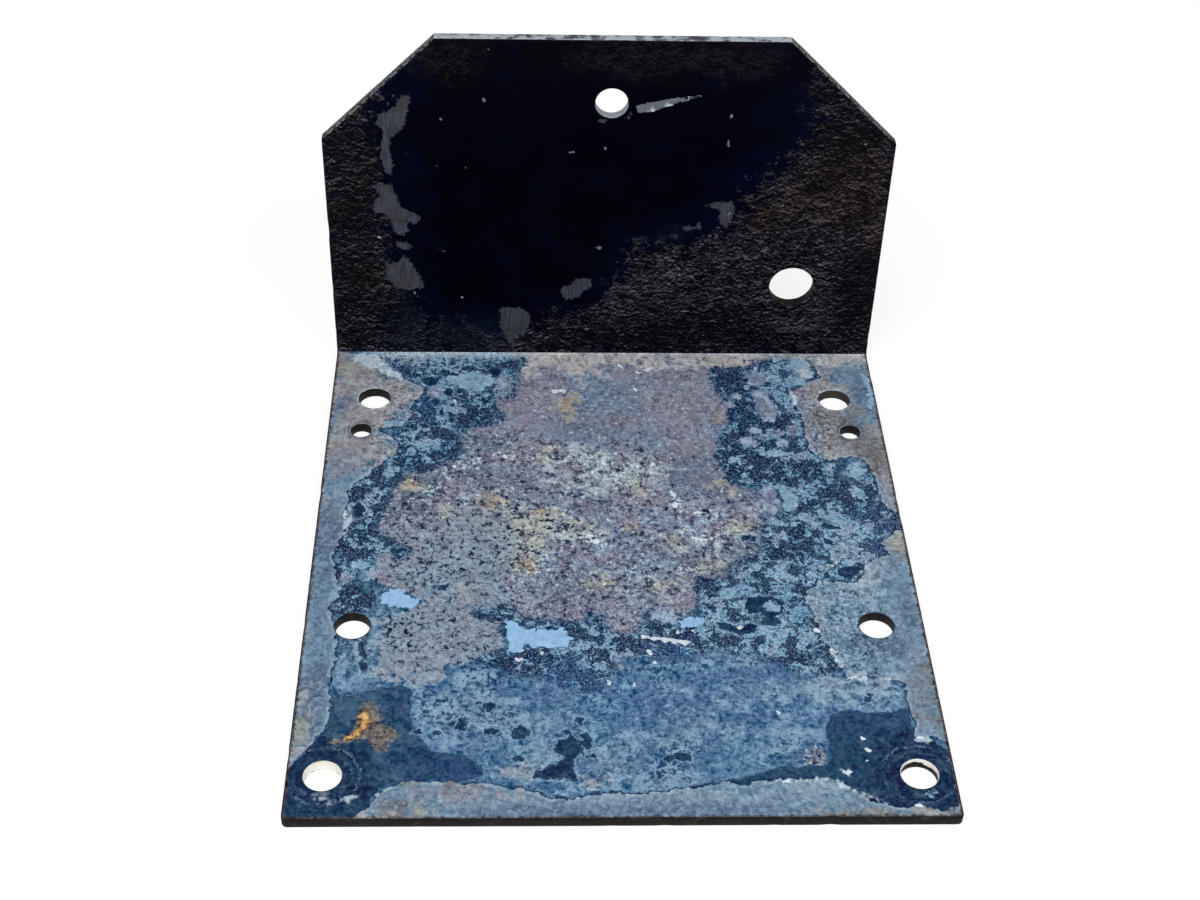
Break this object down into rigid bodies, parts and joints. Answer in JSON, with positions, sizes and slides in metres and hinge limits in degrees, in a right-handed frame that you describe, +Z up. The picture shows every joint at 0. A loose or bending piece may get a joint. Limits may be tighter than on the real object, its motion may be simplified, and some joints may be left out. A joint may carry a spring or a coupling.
{
  "type": "speaker mounting bracket",
  "caption": "Right-angle folded sheet steel bracket that carries a loudspeaker: flat base with bolt holes along its sides, and an upright with cut-off top corners.",
  "frame": {"origin": "underside of the base, under the middle of the bracket's bounding box", "axes": "+X along the fold towards the cable hole, +Y from the free edge of the base to the upright, +Z up along the upright"},
  "size_m": [0.1124, 0.127, 0.0762],
  "materials": {
    "worn_paint": "dark blue-black paint, worn through to stained and rusted steel"
  },
  "bodies": {
    "root": {"bracket": "worn_paint"}
  },
  "joints": []
}
